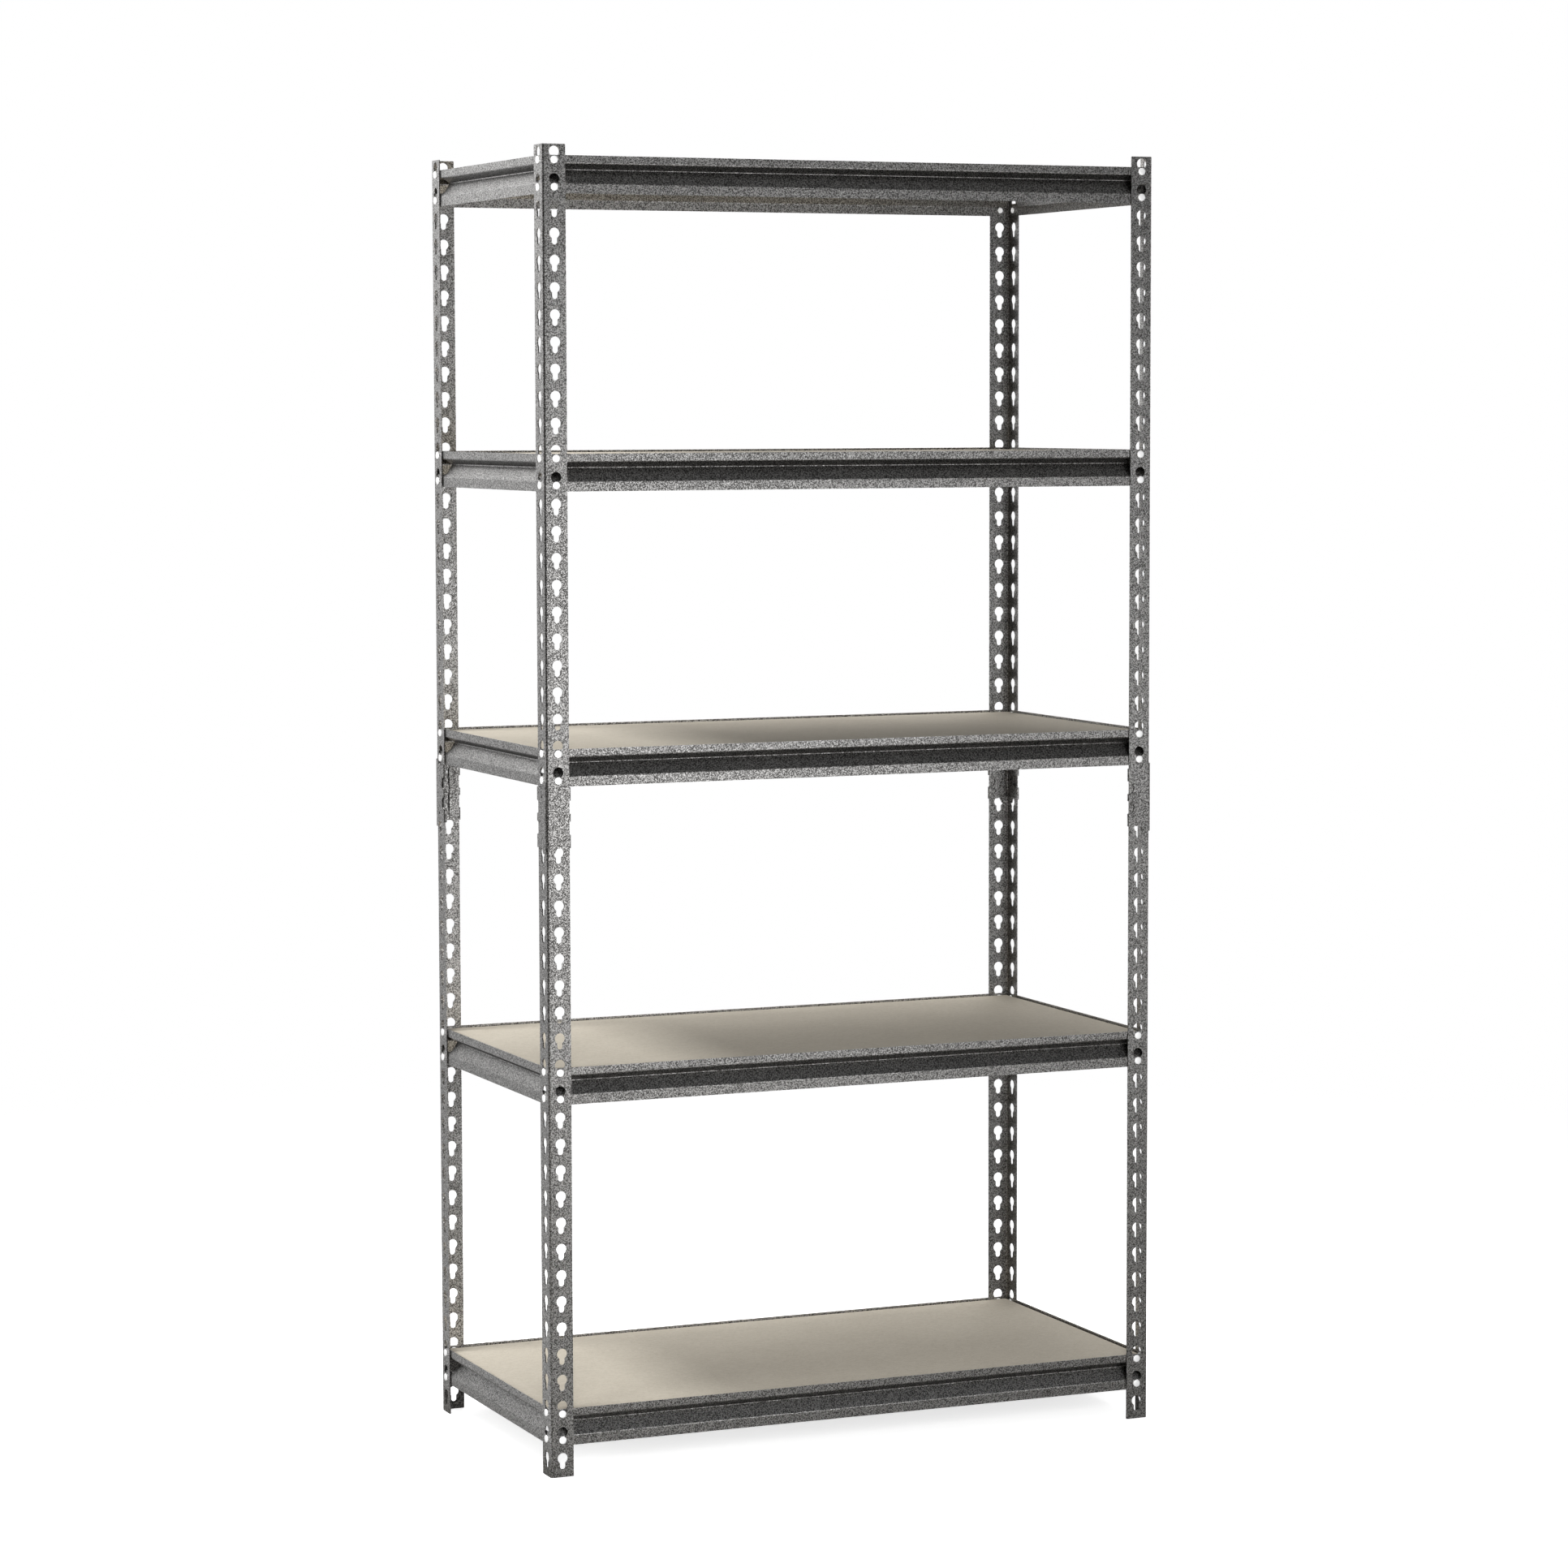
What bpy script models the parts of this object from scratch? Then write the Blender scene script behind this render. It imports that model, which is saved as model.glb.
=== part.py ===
"""Five-level boltless rivet shelving: keyhole angle posts, riveted beams, loose boards.

Object frame: origin on the floor under the middle of the unit, +X along the
width, the long front side faces -Y, +Z up.  All lengths are in metres.

Each of the four posts is two identical angle halves that meet end to end at
mid-height inside a folded coupler.  Each level has four beams.  Their rivets
hang in the posts' keyholes, and a loose board lies on the beams' ledges.
"""

import math

import bmesh
import bpy
from mathutils import Vector
from mathutils.geometry import tessellate_polygon

# ---------------------------------------------------------------- dimensions
PITCH = 0.0365              # keyhole spacing up a post
HOLES_PER_HALF = 25
WIDTH = 0.925               # over the outer faces of the posts
DEPTH = 0.4625
HALF_LEN = PITCH * HOLES_PER_HALF
HEIGHT = 2 * HALF_LEN

POST_FLANGE = 0.0331        # leg of the angle
POST_SHEET = 0.0015
HOLE_FROM_CORNER = 0.0170   # keyhole centre line, from the outer corner
FIRST_HOLE_DOWN = 0.385 * PITCH   # top of a half to the middle of its first keyhole

KEY_ROUND_R = 0.00745       # the round upper part of a keyhole
KEY_ROUND_UP = 0.0039       # its centre, above the keyhole's middle
KEY_SLOT_HALF = 0.0040      # half width of the slot below it
KEY_BOTTOM = 0.01135        # slot end, below the keyhole's middle
RIVET_DROP = 0.0070         # seated rivet centre, below the keyhole's middle

GAP = 0.0003                # clearance between touching sheets
BEAM_SHEET = 0.0012
BEAM_HEIGHT = 0.0512
BEAM_OFFSET = POST_SHEET + GAP    # beam's outer face, in from the post's outer face
BEAM_END = 0.0060           # beam end, in from the post's outer corner
SIDE_COPE = 0.0340          # length at a side beam's end where only the two flanges remain,
                            # which clears the front and rear beams' ledges
LONG_COPE = 0.0160          # the same for a front or rear beam, all of it behind the post
UPPER_FLANGE = 0.0111       # top edge to where the ledge slants inward
LEDGE_DEPTH = 0.0120        # outer face to the deepest bend
GROOVE = 0.0186             # top edge to the deepest bend
SLOPE_BOTTOM = 0.0375       # top edge to where the slope meets the lower flange
RIVET_BELOW_TOP = 0.0062    # upper rivet centre, below the beam's top edge

SHANK_R = 0.0037
RIVET_HEAD_R = 0.0052
RIVET_HEAD_T = 0.0020
RIVET_SIDES = 6

BOARD_T = 0.0090
BOARD_EDGE = 0.0060         # board edge, in from the posts' outer faces
BOARD_TOP_DOWN = 0.0029     # board top, below the beams' top edges

COUPLER_SHEET = 0.0015
COUPLER_HALF_EDGE = 0.0415  # half height at the flange edges
COUPLER_HALF_CORNER = 0.0490   # half height near the post's corner
COUPLER_STEP_NEAR = 0.0106    # the ends step down between these distances from the
COUPLER_STEP_FAR = 0.0142     # post's corner, clear of the keyholes' rivets
COUPLER_STRIP = 0.0155      # width of the strip folded behind each flange
COUPLER_END_BRIDGE = 0.0235   # height where the end folds start, from the middle
COUPLER_MID_BRIDGE = 0.0052   # half height of the middle fold

# how far each hand-fitted coupler sits above the joint
COUPLER_SIT = {"front_left": 0.0009, "front_right": -0.0032, "rear_right": 0.0,
               "rear_left": 0.0009}

# keyhole number of each level's upper rivets, counted down from the top
LEVELS = (("top", 0), ("upper", 11), ("middle", 22), ("lower", 34), ("bottom", 47))

PAINT = (0.30, 0.30, 0.295, 1.0)
BOARD = (0.58, 0.50, 0.39, 1.0)


# ------------------------------------------------------------------- helpers
def clear_scene():
    for obj in list(bpy.data.objects):
        bpy.data.objects.remove(obj, do_unlink=True)


def make_material(name, colour, roughness, metallic):
    mat = bpy.data.materials.new(name)
    mat.use_nodes = True
    bsdf = mat.node_tree.nodes["Principled BSDF"]
    bsdf.inputs["Base Color"].default_value = colour
    bsdf.inputs["Roughness"].default_value = roughness
    bsdf.inputs["Metallic"].default_value = metallic
    return mat


class Shell:
    """Collects welded vertices and faces of one closed body."""

    def __init__(self):
        self.verts = []
        self.index = {}
        self.faces = []

    def v(self, x, y, z):
        key = (round(x, 8), round(y, 8), round(z, 8))
        if key not in self.index:
            self.index[key] = len(self.verts)
            self.verts.append(key)
        return self.index[key]

    def face(self, points):
        self.faces.append([self.v(*p) for p in points])

    def face_with_holes(self, outer, holes):
        """A flat face bounded by outer and pierced by the loops in holes."""
        loops = [outer] + list(holes)
        flat = [p for loop in loops for p in loop]
        for tri in tessellate_polygon([[Vector(p) for p in loop] for loop in loops]):
            self.faces.append([self.v(*flat[i]) for i in tri])

    def tube(self, loop_a, loop_b):
        """Walls between two loops with the same number of points."""
        count = len(loop_a)
        for i in range(count):
            j = (i + 1) % count
            self.face((loop_a[i], loop_a[j], loop_b[j], loop_b[i]))

    def mesh(self, name):
        bm = bmesh.new()
        made = [bm.verts.new(p) for p in self.verts]
        for ids in self.faces:
            bm.faces.new([made[i] for i in ids])
        bmesh.ops.triangulate(bm, faces=[f for f in bm.faces if len(f.verts) > 3])
        bmesh.ops.recalc_face_normals(bm, faces=bm.faces[:])
        mesh = bpy.data.meshes.new(name)
        bm.to_mesh(mesh)
        bm.free()
        return mesh


def add_object(name, mesh, material, location, turn_deg, parent):
    obj = bpy.data.objects.new(name, mesh)
    bpy.context.scene.collection.objects.link(obj)
    if not mesh.materials:
        mesh.materials.append(material)
    obj.parent = parent
    obj.location = Vector(location) - (parent.location if parent else Vector())
    obj.rotation_euler = (0.0, 0.0, math.radians(turn_deg))
    return obj


def add_empty(name, location):
    empty = bpy.data.objects.new(name, None)
    empty.location = location
    bpy.context.scene.collection.objects.link(empty)
    return empty


# --------------------------------------------------------------------- posts
def keyhole_outline(z_mid):
    """Six-sided keyhole: slot end below, shoulders of the round part above."""
    round_z = z_mid + KEY_ROUND_UP
    top = round_z + KEY_ROUND_R * 0.98
    return [
        (-KEY_SLOT_HALF, z_mid - KEY_BOTTOM),
        (KEY_SLOT_HALF, z_mid - KEY_BOTTOM),
        (KEY_ROUND_R, round_z - 0.0012),
        (KEY_ROUND_R * 0.62, top),
        (-KEY_ROUND_R * 0.62, top),
        (-KEY_ROUND_R, round_z - 0.0012),
    ]


def post_half_mesh():
    """Angle with its outer corner on the local Z axis and legs along +X and +Y."""
    shell = Shell()
    t, w, h = POST_SHEET, POST_FLANGE, HALF_LEN

    def along_x(u, depth, z):
        return (u, depth, z)

    def along_y(u, depth, z):
        return (depth, u, z)

    for place in (along_x, along_y):
        for depth, start in ((0.0, 0.0), (t, t)):
            outer = [place(start, depth, 0), place(w, depth, 0),
                     place(w, depth, h), place(start, depth, h)]
            holes = []
            for k in range(HOLES_PER_HALF):
                z_mid = h - FIRST_HOLE_DOWN - k * PITCH
                holes.append([place(HOLE_FROM_CORNER + du, depth, z)
                              for du, z in keyhole_outline(z_mid)])
            shell.face_with_holes(outer, holes)
        for k in range(HOLES_PER_HALF):
            outline = keyhole_outline(h - FIRST_HOLE_DOWN - k * PITCH)
            shell.tube([place(HOLE_FROM_CORNER + du, 0.0, z) for du, z in outline],
                       [place(HOLE_FROM_CORNER + du, t, z) for du, z in outline])
        shell.face((place(w, 0, 0), place(w, t, 0), place(w, t, h), place(w, 0, h)))
    section = [(0, 0), (w, 0), (w, t), (t, t), (t, w), (0, w)]
    for z in (0.0, h):
        shell.face([(x, y, z) for x, y in section])
    return shell.mesh("post_half")


# ------------------------------------------------------------------ couplers
def coupler_mesh():
    """Folded sleeve round both legs of a post, built cell by cell up its height.

    Local frame as the post's, with Z = 0 at the joint between the halves.
    """
    inner = -GAP
    outer = -GAP - COUPLER_SHEET
    fold_in = POST_FLANGE + GAP
    fold_out = fold_in + COUPLER_SHEET
    behind = POST_SHEET + GAP
    behind_far = behind + COUPLER_SHEET
    strip = fold_in - COUPLER_STRIP

    stops = (inner, COUPLER_STEP_NEAR, COUPLER_STEP_FAR, fold_in, fold_out)
    cells = [((outer, inner), (outer, inner), "plate")]
    for x0, x1 in zip(stops, stops[1:]):
        cells.append(((x0, x1), (outer, inner), "fold" if x1 == fold_out else "plate"))
    cells.append(((fold_in, fold_out), (inner, behind), "fold"))
    cells.append(((fold_in, fold_out), (behind, behind_far), "fold"))
    cells.append(((strip, fold_in), (behind, behind_far), "plate"))
    cells += [(ys, xs, kind) for xs, ys, kind in cells[1:]]

    levels = (-COUPLER_HALF_EDGE, -COUPLER_END_BRIDGE, -COUPLER_MID_BRIDGE,
              COUPLER_MID_BRIDGE, COUPLER_END_BRIDGE, COUPLER_HALF_EDGE)
    windows = (1, 3)
    present = {(c, layer) for c, cell in enumerate(cells) for layer in range(5)
               if cell[2] == "plate" or layer not in windows}

    def height(x, y, level):
        z = levels[level]
        if level not in (0, 5):
            return z
        if min(x, y) > 0 or max(x, y) > COUPLER_STEP_NEAR:
            return z
        return math.copysign(COUPLER_HALF_CORNER, z)

    def corner(x, y, level):
        return (x, y, height(x, y, level))

    sides = {}
    for c, ((x0, x1), (y0, y1), _) in enumerate(cells):
        ring = [(x0, y0), (x1, y0), (x1, y1), (x0, y1)]
        for i in range(4):
            edge = (ring[i], ring[(i + 1) % 4])
            sides.setdefault(frozenset(edge), []).append(c)

    shell = Shell()
    for c, layer in sorted(present):
        (x0, x1), (y0, y1), _ = cells[c]
        ring = [(x0, y0), (x1, y0), (x1, y1), (x0, y1)]
        for i in range(4):
            a, b = ring[i], ring[(i + 1) % 4]
            others = [n for n in sides[frozenset((a, b))] if n != c]
            if not any((n, layer) in present for n in others):
                shell.face((corner(*a, layer), corner(*b, layer),
                            corner(*b, layer + 1), corner(*a, layer + 1)))
        if (c, layer - 1) not in present:
            shell.face([corner(*p, layer) for p in ring])
        if (c, layer + 1) not in present:
            shell.face([corner(*p, layer + 1) for p in ring])
    return shell.mesh("post_coupler")


# --------------------------------------------------------------------- beams
def ring_round(x, z, radius, y):
    """Points of a rivet's outline on a plane facing along Y."""
    step = 2 * math.pi / RIVET_SIDES
    return [(x + radius * math.cos(step * i), y, z + radius * math.sin(step * i))
            for i in range(RIVET_SIDES)]


def other_face(corners, t):
    """Corners of the sheet's other face, t to the left of the way the outer face runs."""
    lines = []
    for (a, b), (c, d) in zip(corners, corners[1:]):
        run = math.hypot(c - a, d - b)
        way = ((c - a) / run, (d - b) / run)
        lines.append(((a - way[1] * t, b + way[0] * t), way))
    (a, b), way = lines[0]
    result = [(a, b)]
    for ((a, b), u), ((c, d), v) in zip(lines, lines[1:]):
        along = ((c - a) * v[1] - (d - b) * v[0]) / (u[0] * v[1] - u[1] * v[0])
        result.append((a + u[0] * along, b + u[1] * along))
    (a, b), way = lines[-1]
    run = math.dist(corners[-2], corners[-1])
    result.append((a + way[0] * run, b + way[1] * run))
    return result


def beam_mesh(name, length, cope):
    """Roll-formed beam with four headed rivets.

    Local frame: length along X, outer face on Y = 0 facing -Y, top edge on Z = 0.
    Both ends are cut back by cope to the two flanges that carry the rivets.
    """
    t = BEAM_SHEET
    outer = [(0.0, 0.0), (0.0, -UPPER_FLANGE), (LEDGE_DEPTH, -GROOVE),
             (0.0, -SLOPE_BOTTOM), (0.0, -BEAM_HEIGHT)]
    inner = other_face(outer, t)
    ledge_fall = (GROOVE - UPPER_FLANGE) / LEDGE_DEPTH
    section = {
        "r0": outer[0], "r1": outer[1], "q1": (t, -UPPER_FLANGE - t * ledge_fall),
        "r2": outer[2], "r3": outer[3], "r4": outer[4],
        "r5": inner[4], "r6": inner[3], "r7": inner[2], "r8": inner[1], "r9": inner[0],
    }
    order = list(section)
    upper_tab = ("r0", "r1", "q1", "r8", "r9")
    lower_tab = ("r3", "r4", "r5", "r6")
    shell = Shell()

    def at(x, key):
        depth, z = section[key]
        return (x, depth, z)

    ends = (-length / 2, length / 2)
    cuts = (ends[0] + cope, ends[1] - cope)
    for i, key in enumerate(order):
        nxt = order[(i + 1) % len(order)]
        shell.face((at(cuts[0], key), at(cuts[1], key), at(cuts[1], nxt), at(cuts[0], nxt)))
    for end, cut in zip(ends, cuts):
        shell.face([at(cut, k) for k in ("q1", "r2", "r3", "r6", "r7", "r8")])
        inward = 1.0 if end < 0 else -1.0
        rivet_x = end + inward * (HOLE_FROM_CORNER - BEAM_END)
        for tab, outer_edge, rivet_z in (
            (upper_tab, ("r0", "r1"), -RIVET_BELOW_TOP),
            (lower_tab, ("r3", "r4"), -RIVET_BELOW_TOP - PITCH),
        ):
            shell.face([at(end, k) for k in tab])
            for i, key in enumerate(tab):
                nxt = tab[(i + 1) % len(tab)]
                quad = (at(end, key), at(cut, key), at(cut, nxt), at(end, nxt))
                if (key, nxt) == outer_edge:
                    shell.face_with_holes(quad, [ring_round(rivet_x, rivet_z, SHANK_R, 0.0)])
                else:
                    shell.face(quad)
            under_head = -(POST_SHEET + 2 * GAP)
            shank = ring_round(rivet_x, rivet_z, SHANK_R, under_head)
            rim = ring_round(rivet_x, rivet_z, RIVET_HEAD_R, under_head)
            cap = ring_round(rivet_x, rivet_z, RIVET_HEAD_R, under_head - RIVET_HEAD_T)
            shell.tube(ring_round(rivet_x, rivet_z, SHANK_R, 0.0), shank)
            shell.tube(shank, rim)
            shell.tube(rim, cap)
            shell.face(cap)
    return shell.mesh(name)


# -------------------------------------------------------------------- boards
def board_mesh():
    """Flat board, centred in X and Y, top face on Z = 0."""
    bm = bmesh.new()
    bmesh.ops.create_cube(bm, size=1.0)
    bmesh.ops.scale(bm, vec=(WIDTH - 2 * BOARD_EDGE, DEPTH - 2 * BOARD_EDGE, BOARD_T),
                    verts=bm.verts[:])
    bmesh.ops.translate(bm, vec=(0, 0, -BOARD_T / 2), verts=bm.verts[:])
    mesh = bpy.data.meshes.new("shelf_board")
    bm.to_mesh(mesh)
    bm.free()
    return mesh


# ------------------------------------------------------------------ assembly
def build():
    clear_scene()
    paint = make_material("silver_vein_paint", PAINT, 0.42, 0.35)
    board = make_material("particle_board", BOARD, 0.75, 0.0)

    corners = (
        ("front_left", -WIDTH / 2, -DEPTH / 2, 0),
        ("front_right", WIDTH / 2, -DEPTH / 2, 90),
        ("rear_right", WIDTH / 2, DEPTH / 2, 180),
        ("rear_left", -WIDTH / 2, DEPTH / 2, 270),
    )
    half = post_half_mesh()
    coupler = coupler_mesh()
    posts = add_empty("posts", (0, 0, 0))
    seam = GAP
    for place, x, y, turn in corners:
        for part, z in (("lower", 0.0), ("upper", HALF_LEN)):
            obj = add_object("post_%s_%s" % (part, place), half, paint, (x, y, z), turn, posts)
            if part == "upper":
                # the halves butt together, and the upper one stops a hair short
                obj.location.z = z + seam
                obj.scale.z = (HALF_LEN - seam) / HALF_LEN
        add_object("post_coupler_%s" % place, coupler, paint,
                   (x, y, HALF_LEN + COUPLER_SIT[place]), turn, posts)

    long_beam = beam_mesh("long_beam", WIDTH - 2 * BEAM_END, LONG_COPE)
    short_beam = beam_mesh("short_beam", DEPTH - 2 * BEAM_END, SIDE_COPE)
    deck = board_mesh()
    for level, keyhole in LEVELS:
        mid = HEIGHT - FIRST_HOLE_DOWN - keyhole * PITCH
        beam_top = mid - RIVET_DROP + RIVET_BELOW_TOP
        frame = add_empty("level_%s" % level, (0, 0, beam_top))
        in_x = WIDTH / 2 - BEAM_OFFSET
        in_y = DEPTH / 2 - BEAM_OFFSET
        for side, mesh, x, y, turn in (
            ("front", long_beam, 0, -in_y, 0),
            ("right", short_beam, in_x, 0, 90),
            ("rear", long_beam, 0, in_y, 180),
            ("left", short_beam, -in_x, 0, -90),
        ):
            add_object("beam_%s_%s" % (side, level), mesh, paint, (x, y, beam_top), turn, frame)
        add_object("shelf_board_%s" % level, deck, board,
                   (0, 0, beam_top - BOARD_TOP_DOWN), 0, frame)
    bpy.context.view_layer.update()


build()
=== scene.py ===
"""Looks of the five-level boltless rivet shelving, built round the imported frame."""

import math

import bpy
from mathutils import Matrix, Vector
from mathutils.geometry import delaunay_2d_cdt


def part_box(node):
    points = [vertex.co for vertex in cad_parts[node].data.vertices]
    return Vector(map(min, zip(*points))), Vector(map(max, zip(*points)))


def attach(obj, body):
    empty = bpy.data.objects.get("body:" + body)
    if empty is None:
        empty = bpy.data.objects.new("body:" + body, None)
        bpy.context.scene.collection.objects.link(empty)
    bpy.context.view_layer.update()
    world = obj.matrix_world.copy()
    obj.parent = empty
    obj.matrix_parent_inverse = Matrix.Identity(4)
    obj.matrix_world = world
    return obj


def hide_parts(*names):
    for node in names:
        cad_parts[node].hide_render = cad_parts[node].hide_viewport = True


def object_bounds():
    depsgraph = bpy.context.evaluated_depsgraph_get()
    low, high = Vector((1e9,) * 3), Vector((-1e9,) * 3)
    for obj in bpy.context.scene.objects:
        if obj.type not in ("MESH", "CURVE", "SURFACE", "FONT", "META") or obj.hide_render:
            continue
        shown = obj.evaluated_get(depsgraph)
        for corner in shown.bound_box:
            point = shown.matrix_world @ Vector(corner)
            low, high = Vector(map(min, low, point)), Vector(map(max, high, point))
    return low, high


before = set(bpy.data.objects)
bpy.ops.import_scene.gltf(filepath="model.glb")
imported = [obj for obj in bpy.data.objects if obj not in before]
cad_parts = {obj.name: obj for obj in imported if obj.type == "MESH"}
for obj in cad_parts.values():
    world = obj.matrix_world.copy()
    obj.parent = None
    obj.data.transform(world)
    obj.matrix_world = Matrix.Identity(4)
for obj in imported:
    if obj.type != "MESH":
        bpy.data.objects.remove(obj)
cad_lo, cad_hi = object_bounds()

MM = 0.001

# ------------------------------------------------------- sizes, millimetres
PITCH = 36.5
HOLES_PER_HALF = 25
HALF_LEN = 912.5
POST_FLANGE = 33.1
POST_SHEET = 1.5
POST_BEND = 3.0
HOLE_FROM_CORNER = 17.0
FIRST_HOLE_DOWN = 0.385 * PITCH
KEY_ROUND_R = 7.45
KEY_ROUND_UP = 3.9
KEY_SLOT_HALF = 4.0
KEY_BOTTOM = 11.35

GAP = 0.3
BEAM_SHEET = 1.2
BEAM_HEIGHT = 51.2
BEAM_END = 6.0
COPE = 34.0
UPPER_FLANGE = 11.1
LEDGE_DEPTH = 12.0
GROOVE = 18.6
SLOPE_BOTTOM = 37.5
LOWER_TAB_TOP = 33.0
RIVET_BELOW_TOP = 6.2

SHANK_R = 3.7
HEAD_R = 5.2
HEAD_BASE = -2.1
HEAD_TOP = -4.08

COUPLER_SHEET = 1.5
COUPLER_HALF_EDGE = 41.5
COUPLER_HALF_CORNER = 49.0
COUPLER_STRIP = 15.5
COUPLER_STEP_NEAR = 10.6
COUPLER_STEP_FAR = 14.2

LEVEL_NAMES = ("top", "upper", "middle", "lower", "bottom")
CORNERS = {"front_left": 0, "front_right": 90, "rear_right": 180, "rear_left": 270}
SIDES = {"front": 0, "right": 90, "rear": 180, "left": 270}


# ------------------------------------------------------------ sheet metalwork
def left_of(v):
    return Vector((-v.y, v.x))


def right_of(v):
    return Vector((v.y, -v.x))


def turned(v, angle):
    c, s = math.cos(angle), math.sin(angle)
    return Vector((v.x * c - v.y * s, v.x * s + v.y * c))


class Path:
    """Section of a bent sheet: runs and arcs measured along its outer face.

    The material lies to the left of the way it runs.
    """

    def __init__(self, corners, radii, step_deg=15.0):
        pts = [Vector(c) for c in corners]
        self.parts = []
        self.bends = []
        u, start = 0.0, pts[0]
        for i in range(1, len(pts)):
            way = (pts[i] - pts[i - 1]).normalized()
            end, radius, turn = pts[i], 0.0, 0.0
            if i < len(pts) - 1:
                onward = (pts[i + 1] - pts[i]).normalized()
                turn = math.atan2(way.x * onward.y - way.y * onward.x, way.dot(onward))
                radius = radii[i - 1]
                end = pts[i] - way * (radius * math.tan(abs(turn) / 2))
            run = (end - start).length
            self.parts.append(("run", u, u + run, start, way))
            u += run
            if radius:
                side = 1.0 if turn > 0 else -1.0
                centre = end + side * radius * left_of(way)
                arc = radius * abs(turn)
                self.parts.append(("arc", u, u + arc, centre, way, radius, side))
                count = max(2, math.ceil(math.degrees(abs(turn)) / step_deg))
                self.bends += [u + arc * k / count for k in range(count + 1)]
                u += arc
                start = pts[i] + onward * (radius * math.tan(abs(turn) / 2))
        self.length = u

    def at(self, u):
        """(point on the outer face, outward normal)."""
        u = min(max(u, 0.0), self.length)
        for part in self.parts:
            if u <= part[2] + 1e-9:
                if part[0] == "run":
                    return part[3] + part[4] * (u - part[1]), right_of(part[4])
                _, u0, _, centre, way, radius, side = part
                now = turned(way, side * (u - u0) / radius)
                return centre - side * radius * left_of(now), right_of(now)
        return self.at(self.length)

    def u_of(self, x, y):
        """Where a point of a straight run lies along the path."""
        best = None
        for part in self.parts:
            if part[0] == "run":
                off = Vector((x, y)) - part[3]
                s = min(max(off.dot(part[4]), 0.0), part[2] - part[1])
                miss = (off - part[4] * s).length
                if best is None or miss < best[0]:
                    best = (miss, part[1] + s)
        return best[1]


def rounded(corners, radii, step_deg=18.0):
    """Outline with its corners rounded; a radius of 0 keeps a corner sharp."""
    out = []
    n = len(corners)
    for i in range(n):
        p, a, b = (Vector(corners[k % n]) for k in (i, i - 1, i + 1))
        radius = radii[i]
        if not radius:
            out.append(p)
            continue
        way, onward = (p - a).normalized(), (b - p).normalized()
        turn = math.atan2(way.x * onward.y - way.y * onward.x, way.dot(onward))
        cut = radius * math.tan(abs(turn) / 2)
        side = 1.0 if turn > 0 else -1.0
        start = p - way * cut
        centre = start + side * radius * left_of(way)
        count = max(2, math.ceil(math.degrees(abs(turn)) / step_deg))
        for k in range(count + 1):
            now = turned(way, turn * k / count)
            out.append(centre - side * radius * left_of(now))
    return out


def circle(x, y, radius, count=16):
    return [Vector((x + radius * math.cos(2 * math.pi * k / count),
                    y + radius * math.sin(2 * math.pi * k / count))) for k in range(count)]


def inside(p, loop):
    hit = False
    x, y = p
    j = len(loop) - 1
    for i in range(len(loop)):
        a, b = loop[i], loop[j]
        if (a[1] > y) != (b[1] > y) and x < (b[0] - a[0]) * (y - a[1]) / (b[1] - a[1]) + a[0]:
            hit = not hit
        j = i
    return hit


def triangulate(outline, holes, lines):
    """Triangles of a flat pattern, with edges along the given lines."""
    verts, edges = [], []
    for loop in [outline] + holes:
        base, n = len(verts), len(loop)
        verts += [Vector(p) for p in loop]
        edges += [(base + i, base + (i + 1) % n) for i in range(n)]
    for a, b in lines:
        base = len(verts)
        verts += [Vector(a), Vector(b)]
        edges.append((base, base + 1))
    made = delaunay_2d_cdt(verts, edges, [], 0, 1e-6)
    pts, faces = made[0], made[2]
    boxes = [(min(p[0] for p in h), max(p[0] for p in h), min(p[1] for p in h),
              max(p[1] for p in h), h) for h in holes]
    kept = []
    for f in faces:
        c = (pts[f[0]] + pts[f[1]] + pts[f[2]]) / 3
        area = (pts[f[1]] - pts[f[0]]).cross(pts[f[2]] - pts[f[0]])
        if abs(area) < 1e-8 or not inside(c, outline):
            continue
        if any(x0 < c.x < x1 and y0 < c.y < y1 and inside(c, h)
               for x0, x1, y0, y1, h in boxes):
            continue
        kept.append(tuple(f) if area > 0 else (f[0], f[2], f[1]))
    used = sorted({i for f in kept for i in f})
    renumber = {old: new for new, old in enumerate(used)}
    return [pts[i] for i in used], [tuple(renumber[i] for i in f) for f in kept]


class Shape:
    """Welded points, faces and one normal per face corner, in millimetres."""

    def __init__(self):
        self.points, self.faces, self.normals = [], [], []

    def add(self, points, faces, normals):
        base = len(self.points)
        self.points += points
        self.faces += [tuple(base + i for i in f) for f in faces]
        self.normals += normals


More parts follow.
